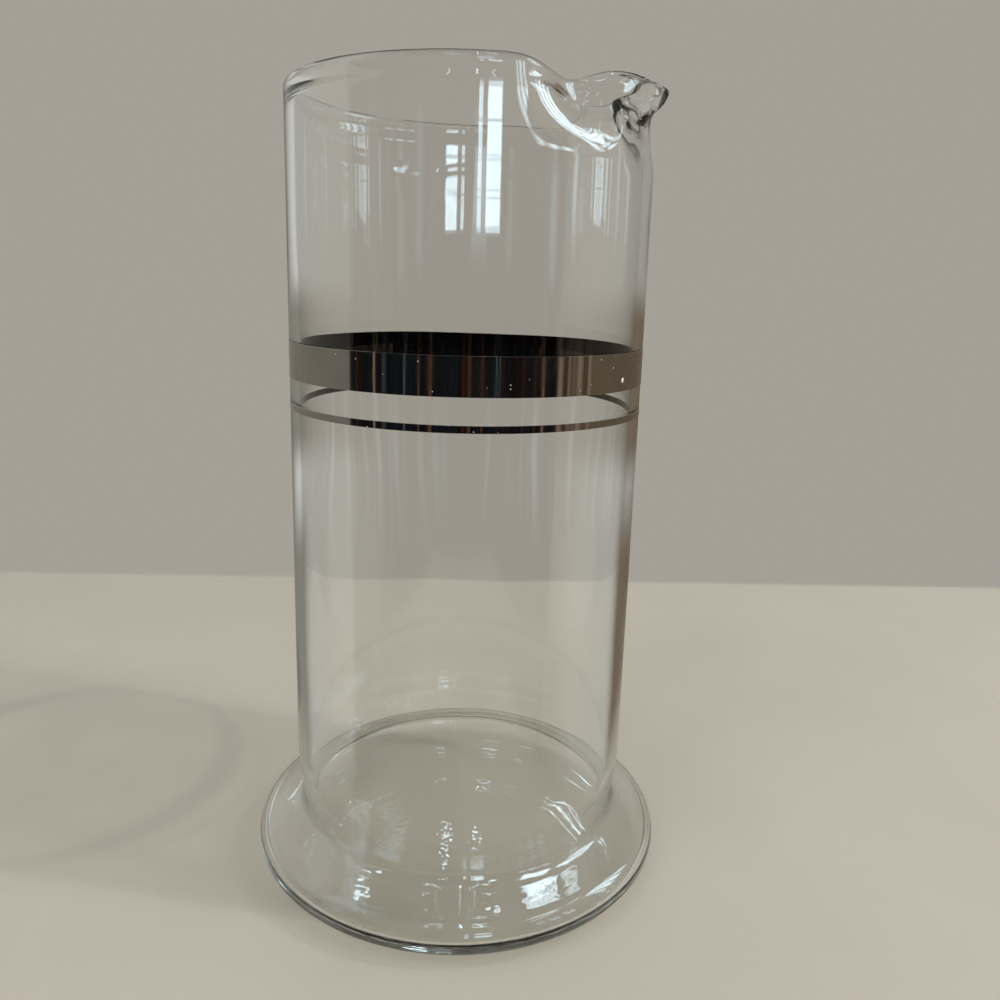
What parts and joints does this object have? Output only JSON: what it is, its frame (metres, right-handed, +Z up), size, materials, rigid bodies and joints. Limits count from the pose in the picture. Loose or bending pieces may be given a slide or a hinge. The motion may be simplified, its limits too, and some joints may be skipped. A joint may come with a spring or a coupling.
{
  "type": "cocktail pitcher",
  "caption": "Tall clear glass pitcher with a straight body, a flared hollow foot, a pouring spout pinched out of the rim, and platinum bands round the outside.",
  "frame": {"origin": "centre of the flat base, on the surface that the pitcher stands on", "axes": "+Z up along the body's axis, +X through the middle of the pouring spout"},
  "size_m": [0.126, 0.126, 0.2276],
  "materials": {
    "clear_glass": "fire-polished clear soda-lime glass, faintly grey-green where it is thick",
    "fired_platinum": "bright dark-silver mirror film, fired on, with small worn specks"
  },
  "bodies": {
    "root": {"glass_vessel": "clear_glass", "wide_band": "fired_platinum", "narrow_band": "fired_platinum"}
  },
  "joints": []
}
